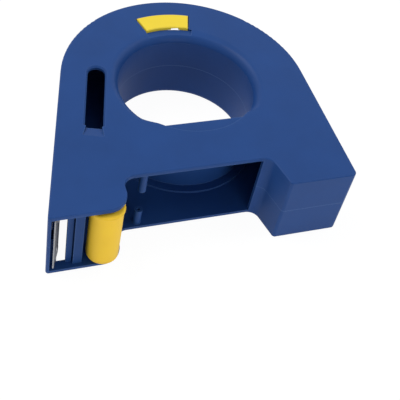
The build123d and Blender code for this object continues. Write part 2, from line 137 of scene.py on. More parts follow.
tree.links.new(mix.outputs[0], out.inputs["Surface"])
print("material", paper.name)

# %% Paper sheet
floor_mesh = bpy.data.meshes.new("paper_sheet")
corners = [(-1, -1), (1, -1), (1, 1), (-1, 1)]
floor_points = [(x * FLOOR_HALF, y * FLOOR_HALF, FLOOR_Z) for x, y in corners]
floor_mesh.from_pydata(floor_points, [], [(0, 1, 2, 3)])
floor_mesh.materials.append(paper)
floor = bpy.data.objects.new("paper_sheet", floor_mesh)
bpy.context.scene.collection.objects.link(floor)
print("floor at", round(FLOOR_Z / MM, 1), "mm")

# %% Sky
SKY_TINT = (0.93, 0.96, 1.0, 1)
SKY_DIM = 0.33

sky = bpy.data.worlds.new("studio")
bpy.context.scene.world = sky
sky.use_nodes = True
tree = sky.node_tree
tree.nodes.clear()
out = tree.nodes.new("ShaderNodeOutputWorld")
dim = tree.nodes.new("ShaderNodeBackground")
dim.inputs["Color"].default_value = SKY_TINT
dim.inputs["Strength"].default_value = SKY_DIM
white = tree.nodes.new("ShaderNodeBackground")
white.inputs["Color"].default_value = WHITE
white.inputs["Strength"].default_value = 1.0
rays = tree.nodes.new("ShaderNodeLightPath")
mix = tree.nodes.new("ShaderNodeMixShader")
any_of = rays.outputs["Is Camera Ray"]
for other in ("Is Glossy Ray", "Is Transmission Ray"):
    either = tree.nodes.new("ShaderNodeMath")
    either.operation = "MAXIMUM"
    tree.links.new(any_of, either.inputs[0])
    tree.links.new(rays.outputs[other], either.inputs[1])
    any_of = either.outputs[0]
tree.links.new(any_of, mix.inputs["Fac"])
tree.links.new(dim.outputs[0], mix.inputs[1])
tree.links.new(white.outputs[0], mix.inputs[2])
tree.links.new(mix.outputs[0], out.inputs["Surface"])
print("sky", sky.name, "at", SKY_DIM)


# %% Lamps
def soft_lamp(name, place, size, watts):
    """A square area lamp at a place, turned to shine at the hub."""
    data = bpy.data.lights.new(name, "AREA")
    data.shape = "SQUARE"
    data.size = size
    data.energy = watts
    lamp = bpy.data.objects.new(name, data)
    bpy.context.scene.collection.objects.link(lamp)
    lamp.location = place
    lamp.rotation_euler = (-Vector(place)).to_track_quat("-Z", "Y").to_euler()
    print(name, watts, "W")


soft_lamp("key_lamp", place=(-0.55, 0.40, 1.0), size=0.8, watts=7.5)
soft_lamp("side_lamp", place=(0.85, 0.0, 0.9), size=0.8, watts=3.6)
soft_lamp("low_lamp", place=(0.15, -1.1, 0.22), size=0.4, watts=2.0)
bpy.context.scene.view_settings.view_transform = "Standard"

# %% [markdown]
# ## Two effects that the materials share
# Moulded plastic is never quite even. It has a fine grain from the mould, which is a bump, and
# slow changes in shade. Its edges are lighter by a painted highlight, the glint of their rounds. Each
# effect is a node group with named inputs, built once and placed in every material that needs it.


# %% Grain group
def add_group(name, inputs, outputs):
    """A shader node group with named sockets: (name, socket type, default)."""
    group = bpy.data.node_groups.new(name, "ShaderNodeTree")
    for label, kind, default in inputs:
        socket = group.interface.new_socket(label, in_out="INPUT", socket_type=kind)
        socket.default_value = default
    for label, kind in outputs:
        group.interface.new_socket(label, in_out="OUTPUT", socket_type=kind)
    source = group.nodes.new("NodeGroupInput")
    sink = group.nodes.new("NodeGroupOutput")
    return group, source, sink


FLOAT = "NodeSocketFloat"

grain_group, source, sink = add_group(
    "mould_grain",
    [("Grain per metre", FLOAT, 2600.0), ("Patch per metre", FLOAT, 45.0)],
    [("Height", FLOAT), ("Patch", FLOAT)],
)
links = grain_group.links
place = grain_group.nodes.new("ShaderNodeTexCoord")
fine = grain_group.nodes.new("ShaderNodeTexNoise")
fine.inputs["Detail"].default_value = 3.0
coarse = grain_group.nodes.new("ShaderNodeTexNoise")
coarse.inputs["Detail"].default_value = 4.0
links.new(place.outputs["Object"], fine.inputs["Vector"])
links.new(place.outputs["Object"], coarse.inputs["Vector"])
links.new(source.outputs["Grain per metre"], fine.inputs["Scale"])
links.new(source.outputs["Patch per metre"], coarse.inputs["Scale"])
links.new(fine.outputs["Fac"], sink.inputs["Height"])
links.new(coarse.outputs["Fac"], sink.inputs["Patch"])
print("group", grain_group.name)

# %% Edge group
EDGE_STARTS = 0.985
EDGE_FULL = 0.80
EDGE_SAMPLES = 6

# This group paints a highlight: a lighter colour along the rounded edges, where they catch the light.
edge_group, source, sink = add_group(
    "painted_edge_highlight",
    [("Width", FLOAT, 0.0008), ("Amount", FLOAT, 0.6)],
    [("Edge", FLOAT)],
)
links = edge_group.links
soft = edge_group.nodes.new("ShaderNodeBevel")
soft.samples = EDGE_SAMPLES
true_normal = edge_group.nodes.new("ShaderNodeNewGeometry")
match = edge_group.nodes.new("ShaderNodeVectorMath")
match.operation = "DOT_PRODUCT"
ramp = edge_group.nodes.new("ShaderNodeMapRange")
ramp.inputs["From Min"].default_value = EDGE_STARTS
ramp.inputs["From Max"].default_value = EDGE_FULL
scale = edge_group.nodes.new("ShaderNodeMath")
scale.operation = "MULTIPLY"
links.new(source.outputs["Width"], soft.inputs["Radius"])
links.new(soft.outputs["Normal"], match.inputs[0])
links.new(true_normal.outputs["Normal"], match.inputs[1])
links.new(match.outputs["Value"], ramp.inputs["Value"])
links.new(ramp.outputs["Result"], scale.inputs[0])
links.new(source.outputs["Amount"], scale.inputs[1])
links.new(scale.outputs[0], sink.inputs["Edge"])
print("group", edge_group.name)

# %% [markdown]
# ## Plastics
# The blue of the case, the yellow of the latch and the roller are one recipe with other values: a
# Principled shader whose colour drifts a little with the patches, lightens on the edges as a painted
# highlight, and whose normal comes from the grain.


# %% Plastic recipe
PATCH_RANGE = (0.3, 0.7)
GLOSS_DRIFT = 0.05
GRAIN_STRENGTH = 0.5
COAT_ROUGHNESS = 0.12
SHINE = 0.15


def plastic(name, colour, highlight_colour, roughness, grain, grain_depth, patch_share, coat=0.0):
    """A plastic: colours (its own and its painted edge highlight), roughness, grain per metre and its
    depth, and how far the shade drifts.
    """
    material, tree = new_material(name)
    out = tree.nodes.new("ShaderNodeOutputMaterial")
    shader = tree.nodes.new("ShaderNodeBsdfPrincipled")
    tree.links.new(shader.outputs[0], out.inputs["Surface"])
    texture = tree.nodes.new("ShaderNodeGroup")
    texture.node_tree = grain_group
    texture.inputs["Grain per metre"].default_value = grain
    edge = tree.nodes.new("ShaderNodeGroup")
    edge.node_tree = edge_group

    patch = tree.nodes.new("ShaderNodeMapRange")
    patch.inputs["From Min"].default_value = PATCH_RANGE[0]
    patch.inputs["From Max"].default_value = PATCH_RANGE[1]
    tree.links.new(texture.outputs["Patch"], patch.inputs["Value"])
    drift = tree.nodes.new("ShaderNodeMix")
    drift.data_type = "RGBA"
    darker = [c * (1 - patch_share) for c in colour]
    lighter = [c * (1 + patch_share) for c in colour]
    drift.inputs["A"].default_value = (*darker, 1)
    drift.inputs["B"].default_value = (*lighter, 1)
    tree.links.new(patch.outputs["Result"], drift.inputs["Factor"])
    # Painted highlight: the colour turns towards the lighter edge colour along the rounded edges.
    edge_highlight_mix = tree.nodes.new("ShaderNodeMix")
    edge_highlight_mix.data_type = "RGBA"
    edge_highlight_mix.inputs["B"].default_value = (*highlight_colour, 1)
    tree.links.new(edge.outputs["Edge"], edge_highlight_mix.inputs["Factor"])
    tree.links.new(drift.outputs["Result"], edge_highlight_mix.inputs["A"])
    tree.links.new(edge_highlight_mix.outputs["Result"], shader.inputs["Base Color"])

    gloss = tree.nodes.new("ShaderNodeMapRange")
    gloss.inputs["To Min"].default_value = roughness - GLOSS_DRIFT
    gloss.inputs["To Max"].default_value = roughness + GLOSS_DRIFT
    tree.links.new(texture.outputs["Patch"], gloss.inputs["Value"])
    tree.links.new(gloss.outputs["Result"], shader.inputs["Roughness"])
    bump = tree.nodes.new("ShaderNodeBump")
    bump.inputs["Strength"].default_value = GRAIN_STRENGTH
    bump.inputs["Distance"].default_value = grain_depth
    tree.links.new(texture.outputs["Height"], bump.inputs["Height"])
    tree.links.new(bump.outputs["Normal"], shader.inputs["Normal"])
    shader.inputs["Specular IOR Level"].default_value = SHINE
    shader.inputs["Coat Weight"].default_value = coat
    shader.inputs["Coat Roughness"].default_value = COAT_ROUGHNESS
    print("plastic", name)
    return material


# %% Plastic colours
BLUE = (0.017, 0.066, 0.240)
BAR_BLUE = (0.013, 0.055, 0.20)
# The two edge colours are painted highlights, lighter tones laid along the rounded edges.
BLUE_EDGE_HIGHLIGHT = (0.09, 0.18, 0.41)
YELLOW = (1.0, 0.75, 0.045)
ROLLER = (1.0, 0.64, 0.045)
YELLOW_EDGE_HIGHLIGHT = (0.95, 0.72, 0.20)

case_blue = plastic(
    "case_blue", BLUE, BLUE_EDGE_HIGHLIGHT, roughness=0.42, grain=2600.0, grain_depth=0.06 * MM, patch_share=0.06,
)
bar_blue = plastic(
    "bar_blue", BAR_BLUE, BLUE_EDGE_HIGHLIGHT, roughness=0.5, grain=2600.0, grain_depth=0.05 * MM, patch_share=0.06,
)
latch_yellow = plastic(
    "latch_yellow", YELLOW, YELLOW_EDGE_HIGHLIGHT, roughness=0.33, grain=1800.0, grain_depth=0.02 * MM,
    patch_share=0.04, coat=0.2,
)
roller_yellow = plastic(
    "roller_yellow", ROLLER, YELLOW_EDGE_HIGHLIGHT, roughness=0.45, grain=1400.0, grain_depth=0.03 * MM,
    patch_share=0.05,
)

# %% [markdown]
# ## Steel
# The blade, the clip, the spring and the fasteners are steel. What tells one from another is the
# way it was finished: a blade is ground in long fine lines, a rivet is only zinc plated. The lines
# are noise that is stretched along one axis by a Mapping node.


# %% Steel recipe
LINE_TONES = (0.82, 1.12)
LINE_GLOSS = (-0.07, 0.08)
LINE_STRENGTH = 0.3
LINE_DEPTH = 0.02 * MM


def steel(name, colour, roughness, line_scale):
    """A steel: its colour, its roughness, and how many finishing lines per metre along each axis."""
    material, tree = new_material(name)
    out = tree.nodes.new("ShaderNodeOutputMaterial")
    shader = tree.nodes.new("ShaderNodeBsdfPrincipled")
    tree.links.new(shader.outputs[0], out.inputs["Surface"])
    place = tree.nodes.new("ShaderNodeTexCoord")
    stretch = tree.nodes.new("ShaderNodeMapping")
    stretch.inputs["Scale"].default_value = line_scale
    tree.links.new(place.outputs["Object"], stretch.inputs["Vector"])
    lines = tree.nodes.new("ShaderNodeTexNoise")
    lines.inputs["Scale"].default_value = 1.0
    lines.inputs["Detail"].default_value = 4.0
    tree.links.new(stretch.outputs["Vector"], lines.inputs["Vector"])
    tone = tree.nodes.new("ShaderNodeMix")
    tone.data_type = "RGBA"
    tone.inputs["A"].default_value = (*[c * LINE_TONES[0] for c in colour], 1)
    tone.inputs["B"].default_value = (*[min(1.0, c * LINE_TONES[1]) for c in colour], 1)
    tree.links.new(lines.outputs["Fac"], tone.inputs["Factor"])
    tree.links.new(tone.outputs["Result"], shader.inputs["Base Color"])
    gloss = tree.nodes.new("ShaderNodeMapRange")
    gloss.inputs["To Min"].default_value = roughness + LINE_GLOSS[0]
    gloss.inputs["To Max"].default_value = roughness + LINE_GLOSS[1]
    tree.links.new(lines.outputs["Fac"], gloss.inputs["Value"])
    tree.links.new(gloss.outputs["Result"], shader.inputs["Roughness"])
    shader.inputs["Metallic"].default_value = 1.0
    bump = tree.nodes.new("ShaderNodeBump")
    bump.inputs["Strength"].default_value = LINE_STRENGTH
    bump.inputs["Distance"].default_value = LINE_DEPTH
    tree.links.new(lines.outputs["Fac"], bump.inputs["Height"])
    tree.links.new(bump.outputs["Normal"], shader.inputs["Normal"])
    print("steel", name)
    return material


blade_steel = steel("blade_steel", (0.46, 0.47, 0.49), roughness=0.50, line_scale=(5200, 5200, 160))
spring_steel = steel("spring_steel", (0.42, 0.43, 0.46), roughness=0.30, line_scale=(300, 3000, 3000))
plated_steel = steel("plated_steel", (0.66, 0.66, 0.67), roughness=0.28, line_scale=(900, 900, 900))

# %% [markdown]
# ## Rounded copies of the moulded pieces
# A CAD solid arrives as loose triangles with razor edges. A real moulding has a small radius on
# every edge, which is what catches the light. Each moulded piece is copied, its loose triangles
# are welded, flat regions are joined into single faces, and a narrow Bevel rounds what is sharp.
# The copy then stands in for the node, and rides on the same body.

# %% Solids that add or cut
def solid_of(name, rings):
    """A closed solid from rings of points in mm. It is only used to add to a piece or to cut it."""
    work = bmesh.new()
    loops = [[work.verts.new(Vector(spot) * MM) for spot in ring] for ring in rings]
    work.faces.new(loops[0])
    work.faces.new(loops[-1])
    count = len(loops[0])
    for one, two in zip(loops, loops[1:]):
        for k in range(count):
            n = (k + 1) % count
            work.faces.new((one[k], one[n], two[n], two[k]))
    bmesh.ops.recalc_face_normals(work, faces=work.faces)
    mesh = bpy.data.meshes.new(name)
    work.to_mesh(mesh)
    work.free()
    solid = bpy.data.objects.new(name, mesh)
    bpy.context.scene.collection.objects.link(solid)
    return solid


def around_hub(profile, angle_deg):
    """Points of a profile of (radius, height), turned about the hub axis."""
    angle = math.radians(angle_deg)
    return [(r * math.cos(angle), r * math.sin(angle), z) for r, z in profile]


def stand_in(piece, node):
    """Let a piece take the place of a CAD node, on the same body."""
    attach(piece, body_of_node[node])
    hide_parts(node)
    print(piece.name, "faces", len(piece.data.polygons))


def result_of(piece, name):
    """Turn a piece's modifiers into plain mesh data."""
    shape = bpy.data.meshes.new_from_object(piece.evaluated_get(bpy.context.evaluated_depsgraph_get()))
    piece.modifiers.clear()
    piece.data = shape
    shape.name = name
    return shape


# %% Welding and changing a piece
WELD = 1e-6
FLAT = math.radians(1.0)
SHARP = math.radians(32)


def weld(mesh, flatten):
    """Join points that lie together, and, where asked, join flat regions into single faces."""
    work = bmesh.new()
    work.from_mesh(mesh)
    bmesh.ops.remove_doubles(work, verts=work.verts, dist=WELD)
    if flatten:
        bmesh.ops.dissolve_limit(work, angle_limit=FLAT, verts=work.verts, edges=work.edges)
    work.to_mesh(mesh)
    work.free()


def change_shape(piece, solid, operation):
    """Add a solid to a piece or cut it away, and delete the solid."""
    change = piece.modifiers.new("change", "BOOLEAN")
    change.operation = operation
    change.solver = "EXACT"
    change.object = solid
    result_of(piece, piece.name)
    bpy.data.objects.remove(solid)


# %% Rounded copy
def rounded(node, name, material, width, segments=2, changes=()):
    """A welded copy of a CAD node with narrow rounded edges, riding on the node's body."""
    mesh = nodes[node].data.copy()
    mesh.name = name
    weld(mesh, flatten=False)
    mesh.materials.clear()
    mesh.materials.append(material)
    piece = bpy.data.objects.new(name, mesh)
    bpy.context.scene.collection.objects.link(piece)
    for solid, operation in changes:
        change_shape(piece, solid, operation)
    weld(piece.data, flatten=True)
    bevel = piece.modifiers.new("round", "BEVEL")
    bevel.width = width
    bevel.segments = segments
    bevel.limit_method = "ANGLE"
    bevel.angle_limit = SHARP
    bevel.use_clamp_overlap = True
    shape = result_of(piece, name)
    weld(shape, flatten=False)
    for face in shape.polygons:
        face.use_smooth = True
    shape.set_sharp_from_angle(angle=SHARP)
    even = piece.modifiers.new("even", "WEIGHTED_NORMAL")
    even.mode = "FACE_AREA"
    even.keep_sharp = True
    result_of(piece, name)
    stand_in(piece, node)


# %% [markdown]
# ## Finer detail of the front face
# Under the latch's inner edge the face steps down for a fingertip. The CAD solid is cut deeper there,
# so a shelf fills it up to the step. The mouth of the bore rolls over into the wall, less so towards
# the bore's flat, whose top is a level ledge just below the face. The thumb slot has a bevelled edge.
# Each is a small solid that a Boolean adds or cuts away: a plain Bevel has one width, and the width
# of the mouth changes along its way. Sizes are in mm, and heights are from the seam.

# %% Finger sill
TOP = 21.2
BORE_R = 35.8
CLEAR = 1.0
SILL_FROM = 69.2
SILL_TO = 105.8
SILL_STEPS = 24
# The sill's profile, as (radius, height): a thin shelf with a foot on the wall of the hub.
SILL = [(35.9, 15.6), (35.9, 20.2), (42.15, 20.2), (42.15, 18.05), (37.4, 18.05), (37.4, 15.6)]


def spaced(first, last, steps):
    """Equally spaced angles from the first to the last."""
    return [first + (last - first) * k / steps for k in range(steps + 1)]


sill = solid_of("sill", [around_hub(SILL, angle) for angle in spaced(SILL_FROM, SILL_TO, SILL_STEPS)])
print(sill.name, "from", SILL_FROM, "to", SILL_TO, "degrees")

# %% Mouth of the bore
MOUTH_FROM = -52.0
MOUTH_TO = 232.0
MOUTH_STEPS = 110
MOUTH_CURVE = 10
MOUTH_FADE = 20.0
MOUTH_WIDE = 4.9
MOUTH_DEEP = 6.5
MOUTH_START = 0.25
MOUTH_LEAST = 0.04


def mouth_profile(angle_deg):
    """Quarter ellipse between the bore and the face, smaller near the two ends of the flat."""
    fade = min(1.0, min(angle_deg - MOUTH_FROM, MOUTH_TO - angle_deg) / MOUTH_FADE)
    size = MOUTH_LEAST + (1 - MOUTH_LEAST) * fade * fade * (3 - 2 * fade)
    wide = MOUTH_WIDE * size
    deep = MOUTH_DEEP * size
    curve = []
    for step in range(MOUTH_CURVE + 1):
        turn = math.pi / 2 * step / MOUTH_CURVE
        radius = BORE_R - MOUTH_START + (wide + MOUTH_START) * (1 - math.cos(turn))
        curve.append((radius, TOP - deep + deep * math.sin(turn)))
    inside = BORE_R - CLEAR
    return [(inside, TOP + CLEAR), (inside, TOP - deep), *curve, (BORE_R + wide, TOP + CLEAR)]


mouth = solid_of("mouth", [
    around_hub(mouth_profile(angle), angle) for angle in spaced(MOUTH_FROM, MOUTH_TO, MOUTH_STEPS)
])
print(mouth.name, "from", MOUTH_FROM, "to", MOUTH_TO, "degrees")

# %% Ledge on the flat
LEDGE_Y = -28.9
LEDGE_R = 36.2
LEDGE_Z = (15.0, 20.7)
LEDGE_ARC = 24

ledge_half = math.degrees(math.acos(-LEDGE_Y / LEDGE_R))
ledge_angles = spaced(-90 - ledge_half, -90 + ledge_half, LEDGE_ARC)
ledge = solid_of("ledge", [
    [around_hub([(LEDGE_R, height)], angle)[0] for angle in ledge_angles] for height in LEDGE_Z
])
print(ledge.name, "top", LEDGE_Z[1], "mm")

# %% Edge of the thumb slot
SLOT_LOW = (-55.4, -24.2)
SLOT_LEAN = math.radians(15.35)
SLOT_HALF = 4.5
SLOT_STRAIGHT = 38.5
SLOT_BEVEL = 0.9
SLOT_START = 0.3
SLOT_INTO = 0.15
SLOT_ARC = 24


def slot_ring(grow, height):
    """Outline of the thumb slot, wider by grow all round except at its lower end."""
    half = SLOT_HALF + grow
    across = [(-half, SLOT_START)]
    for step in range(SLOT_ARC + 1):
        turn = math.pi * step / SLOT_ARC
        across.append((-half * math.cos(turn), SLOT_STRAIGHT + half * math.sin(turn)))
    across.append((half, SLOT_START))
    cos_lean = math.cos(SLOT_LEAN)
    sin_lean = math.sin(SLOT_LEAN)
    ring = []
    for u, v in across:
        x = SLOT_LOW[0] + u * cos_lean + v * sin_lean
        ring.append((x, SLOT_LOW[1] - u * sin_lean + v * cos_lean, height))
    return ring


slot_edge = solid_of("slot_edge", [
    slot_ring(-SLOT_INTO, TOP - SLOT_BEVEL - SLOT_INTO),
    slot_ring(SLOT_BEVEL, TOP),
    slot_ring(SLOT_BEVEL, TOP + CLEAR),
])
print(slot_edge.name, "bevel", SLOT_BEVEL, "mm")

# %% Moulded pieces
rounded("rear_shell", "case_rear", case_blue, 0.25 * MM)
rounded("front_shell", "case_front", case_blue, 0.25 * MM, changes=[
    (sill, "UNION"), (ledge, "UNION"), (mouth, "DIFFERENCE"), (slot_edge, "DIFFERENCE"),
])
rounded("guide_bar", "tape_bar", bar_blue, 0.3 * MM)
rounded("blade_holder", "blade_strip", bar_blue, 0.2 * MM)
rounded("latch", "latch_lever", latch_yellow, 0.2 * MM)
rounded("roller_sleeve", "roller_tube", roller_yellow, 0.3 * MM)
rounded("roller_cap_front", "roller_end_front", roller_yellow, 0.15 * MM)
rounded("roller_cap_rear", "roller_end_rear", roller_yellow, 0.15 * MM)

# %% Steel pieces
rounded("catch_clip", "snap_clip", spring_steel, 0.08 * MM, 1)
rounded("roller_axle", "axle_rod", plated_steel, 0.1 * MM)
rounded("hinge_pin", "hinge_rod", plated_steel, 0.1 * MM)
rounded("latch_pin", "latch_rod", plated_steel, 0.1 * MM)

# %% [markdown]
# ## Hardware that follows a rule
# The teeth, rivets, screws and coil are each one rule with a few numbers. A Geometry Nodes group
# holds the rule and its named inputs hold the numbers. Each group ends in Realize Instances and Set
# Material, and the mesh that it makes takes the place of the CAD node.

# %% A new rule
INT = "NodeSocketInt"
VECTOR = "NodeSocketVector"
SHAPE = "NodeSocketGeometry"
HALF = 0.5


def new_rule(name, inputs):
    """A Geometry Nodes group with named inputs, and the sockets that its input node gives."""
    rule = bpy.data.node_groups.new(name, "GeometryNodeTree")
    rule.interface.new_socket("Geometry", in_out="INPUT", socket_type=SHAPE)
    for label, kind in inputs:
        rule.interface.new_socket(label, in_out="INPUT", socket_type=kind)
    rule.interface.new_socket("Material", in_out="INPUT", socket_type="NodeSocketMaterial")
    rule.interface.new_socket("Geometry", in_out="OUTPUT", socket_type=SHAPE)
    return rule, rule.nodes.new("NodeGroupInput").outputs


# %% Building blocks of a rule
def put(rule, kind, sockets, **settings):
    """Add a node. Each of its sockets gets a value, or a link from another node."""
    made = rule.nodes.new(kind)
    for key, value in settings.items():
        setattr(made, key, value)
    for key, value in sockets.items():
        if isinstance(value, bpy.types.NodeSocket):
            rule.links.new(value, made.inputs[key])
        else:
            made.inputs[key].default_value = value
    return made.outputs[0]


def maths(rule, operation, first, second=0.0):
    """A Math node on one or two numbers."""
    return put(rule, "ShaderNodeMath", {0: first, 1: second}, operation=operation)


def vectors(rule, operation, first, second=(0, 0, 0)):
    """A Vector Math node on one or two vectors."""
    return put(rule, "ShaderNodeVectorMath", {0: first, 1: second}, operation=operation)


def upwards(rule, shape, height):
    """Move a shape along its own Z by a height that is a socket."""
    lift = put(rule, "ShaderNodeCombineXYZ", {"Z": height})
    return put(rule, "GeometryNodeTransform", {"Geometry": shape, "Translation": lift})


def joined(rule, *shapes):
    """Several shapes as one."""
    made = rule.nodes.new("GeometryNodeJoinGeometry")
    for shape in shapes:
        rule.links.new(shape, made.inputs[0])
    return made.outputs[0]


# %% Ending a rule and running it
def finish_rule(rule, shape, material):
    """The end of every rule: real geometry, with its material."""
    real = put(rule, "GeometryNodeRealizeInstances", {0: shape})
    dressed = put(rule, "GeometryNodeSetMaterial", {"Geometry": real, "Material": material})
    sink = rule.nodes.new("NodeGroupOutput")
    rule.links.new(dressed, sink.inputs[0])


def follow(rule, name, node, values):
    """Run a rule on an empty mesh. Its inputs are set by the identifiers of their sockets."""
    piece = bpy.data.objects.new(name, bpy.data.meshes.new(name))
    bpy.context.scene.collection.objects.link(piece)
    maker = piece.modifiers.new("maker", "NODES")
    maker.node_group = rule
    for item in rule.interface.items_tree:
        if item.in_out == "INPUT" and item.name in values:
            maker[item.identifier] = values[item.name]
    shape = result_of(piece, name)
    for face in shape.polygons:
        face.use_smooth = True
    shape.set_sharp_from_angle(angle=SHARP)
    stand_in(piece, node)


# %% [markdown]
# ## The toothed blade
# The blade tears the tape with a row of equal pointed teeth. They could be cut out of a plate, but
# they follow a rule, so a grid two points wide becomes the strip, every second point of one side is
# pushed in, and the strip is then given its thickness. Another pitch is one number.

# %% Blade sizes and rule
BLADE_TIP = Vector((-85.1, -76.2, 0)) * MM
BLADE_HEEL = Vector((-80.9, -66.6, 0)) * MM
BLADE_THICK = 0.6 * MM
TOOTH_COUNT = 28
TOOTH_PITCH = 1.3 * MM
TOOTH_DEEP = 1.0 * MM

teeth, given = new_rule("toothed_strip", [
    ("Teeth", INT), ("Pitch", FLOAT), ("Tooth depth", FLOAT), ("Width", FLOAT), ("Thickness", FLOAT),
])
length = maths(teeth, "MULTIPLY", given["Teeth"], given["Pitch"])
rows = put(teeth, "ShaderNodeMath", {0: given["Teeth"], 1: 2.0, 2: 1.0}, operation="MULTIPLY_ADD")
strip = put(teeth, "GeometryNodeMeshGrid", {
    "Size X": given["Width"], "Size Y": length, "Vertices X": 2, "Vertices Y": rows,
})
across = put(teeth, "ShaderNodeSeparateXYZ", {0: put(teeth, "GeometryNodeInputPosition", {})})
along = maths(teeth, "ADD", across.node.outputs["Y"], maths(teeth, "MULTIPLY", length, HALF))
half_pitch = maths(teeth, "MULTIPLY", given["Pitch"], HALF)
row = maths(teeth, "ROUND", maths(teeth, "DIVIDE", along, half_pitch))
valley = maths(teeth, "SUBTRACT", 1.0, maths(teeth, "MODULO", row, 2.0))
on_edge = maths(teeth, "LESS_THAN", across, 0.0)
push = maths(teeth, "MULTIPLY", maths(teeth, "MULTIPLY", valley, on_edge), given["Tooth depth"])
offset = put(teeth, "ShaderNodeCombineXYZ", {"X": push})
comb = put(teeth, "GeometryNodeSetPosition", {"Geometry": strip, "Offset": offset})
front = put(teeth, "GeometryNodeExtrudeMesh", {
    "Mesh": comb, "Offset Scale": given["Thickness"], "Individual": False,
})
back = put(teeth, "GeometryNodeFlipFaces", {"Mesh": comb})
both = joined(teeth, front, back)
closed = put(teeth, "GeometryNodeMergeByDistance", {"Geometry": both, "Distance": WELD})

# %% Toothed blade
inward = (BLADE_HEEL - BLADE_TIP).normalized()
outward = Vector((inward.y, -inward.x, 0))
blade_turn = Matrix((inward, (0, 0, 1), outward)).transposed().to_euler()
blade_place = (BLADE_TIP + BLADE_HEEL) * HALF - outward * BLADE_THICK * HALF
placed = put(teeth, "GeometryNodeTransform", {
    "Geometry": closed, "Translation": blade_place, "Rotation": blade_turn,
})
finish_rule(teeth, placed, given["Material"])
follow(teeth, "toothed_blade", "cutter_blade", {
    "Teeth": TOOTH_COUNT, "Pitch": TOOTH_PITCH, "Tooth depth": TOOTH_DEEP,
    "Width": (BLADE_HEEL - BLADE_TIP).length, "Thickness": BLADE_THICK, "Material": blade_steel,
})

# %% [markdown]
# ## Rivets
# Two rivets hold the blade and two hold the catch clip. A rivet has a low domed head and a shank, so
# one rule makes a cylinder, lowers its top towards the rim, and adds a thinner one below. It is put
# on two points. It stands along a given direction, or outward from the hub axis, or a mix of both.

# %% Rivet shape
DOME = 0.55
ROUND = 40
HEAD_RINGS = 7

rivets, given = new_rule("domed_rivets", [
    ("Head radius", FLOAT), ("Head height", FLOAT), ("Shank radius", FLOAT), ("Shank length", FLOAT),
    ("First place", VECTOR), ("Second place", VECTOR), ("Direction", VECTOR), ("Outward", FLOAT),
])
disc = put(rivets, "GeometryNodeMeshCylinder", {
    "Vertices": ROUND, "Fill Segments": HEAD_RINGS,
    "Radius": given["Head radius"], "Depth": given["Head height"],
})
spot = put(rivets, "GeometryNodeInputPosition", {})
flat_spot = vectors(rivets, "MULTIPLY", spot, (1, 1, 0))
reach = put(rivets, "ShaderNodeVectorMath", {0: flat_spot}, operation="LENGTH").node.outputs["Value"]
share = maths(rivets, "DIVIDE", reach, given["Head radius"])
share = maths(rivets, "MULTIPLY", share, share)
height = put(rivets, "ShaderNodeSeparateXYZ", {0: spot}).node.outputs["Z"]
share = maths(rivets, "MULTIPLY", share, maths(rivets, "GREATER_THAN", height, 0.0))
sink_by = maths(rivets, "MULTIPLY", maths(rivets, "MULTIPLY", share, given["Head height"]), -DOME)
lower = put(rivets, "ShaderNodeCombineXYZ", {"Z": sink_by})
dome = put(rivets, "GeometryNodeSetPosition", {"Geometry": disc, "Offset": lower})
head = upwards(rivets, dome, maths(rivets, "MULTIPLY", given["Head height"], HALF))
rod = put(rivets, "GeometryNodeMeshCylinder", {
    "Vertices": ROUND, "Radius": given["Shank radius"], "Depth": given["Shank length"],
})
shank = upwards(rivets, rod, maths(rivets, "MULTIPLY", given["Shank length"], -HALF))

# %% Rivets on two points
step = vectors(rivets, "SUBTRACT", given["Second place"], given["First place"])
points = put(rivets, "GeometryNodeMeshLine", {
    "Count": 2, "Start Location": given["First place"], "Offset": step,
})
away = vectors(rivets, "NORMALIZE", flat_spot)
away = put(rivets, "ShaderNodeVectorMath", {0: away, "Scale": given["Outward"]}, operation="SCALE")
way = vectors(rivets, "ADD", away, given["Direction"])
turned = put(rivets, "FunctionNodeAlignRotationToVector", {"Vector": way}, axis="Z")
pair = put(rivets, "GeometryNodeInstanceOnPoints", {
    "Points": points, "Instance": joined(rivets, head, shank), "Rotation": turned,
})
finish_rule(rivets, pair, given["Material"])

# %% Blade rivets
RIVET_IN = 7.34 * MM
RIVET_UP = Vector((0, 0, 11.2)) * MM
rivet_foot = BLADE_TIP + inward * RIVET_IN + outward * BLADE_THICK * HALF
follow(rivets, "blade_rivet_pair", "blade_rivets", {
    "Head radius": 1.8 * MM, "Head height": 0.5 * MM, "Shank radius": 1.0 * MM, "Shank length": 1.5 * MM,
    "First place": rivet_foot - RIVET_UP, "Second place": rivet_foot + RIVET_UP,
    "Direction": outward, "Outward": 0.0, "Material": plated_steel,
})


# %% Clip rivets
CLIP_ANGLES = (79.5, 97.5)
CLIP_WALL_R = 65.32
CLIP_RIVET_Z = -7.7


def on_wall(angle_deg, radius_mm, z_mm):
    """A place on the case's arch, by its angle from +X."""
    angle = math.radians(angle_deg)
    return Vector((radius_mm * math.cos(angle), radius_mm * math.sin(angle), z_mm)) * MM


first, second = [on_wall(angle, CLIP_WALL_R, CLIP_RIVET_Z) for angle in CLIP_ANGLES]
follow(rivets, "clip_rivet_pair", "clip_rivets", {
    "Head radius": 2.4 * MM, "Head height": 0.68 * MM, "Shank radius": 1.5 * MM, "Shank length": 3.4 * MM,
    "First place": first, "Second place": second,
    "Direction": (0.0, 0.0, 0.0), "Outward": 1.0, "Material": plated_steel,
})

# %% [markdown]
# ## Countersunk screws
# Two screws hold the guide bar from behind, flush with the rear face. The head is a cone whose wide
# end lies in the face. A Mesh Boolean cuts the screwdriver slot, and both screws are instances.

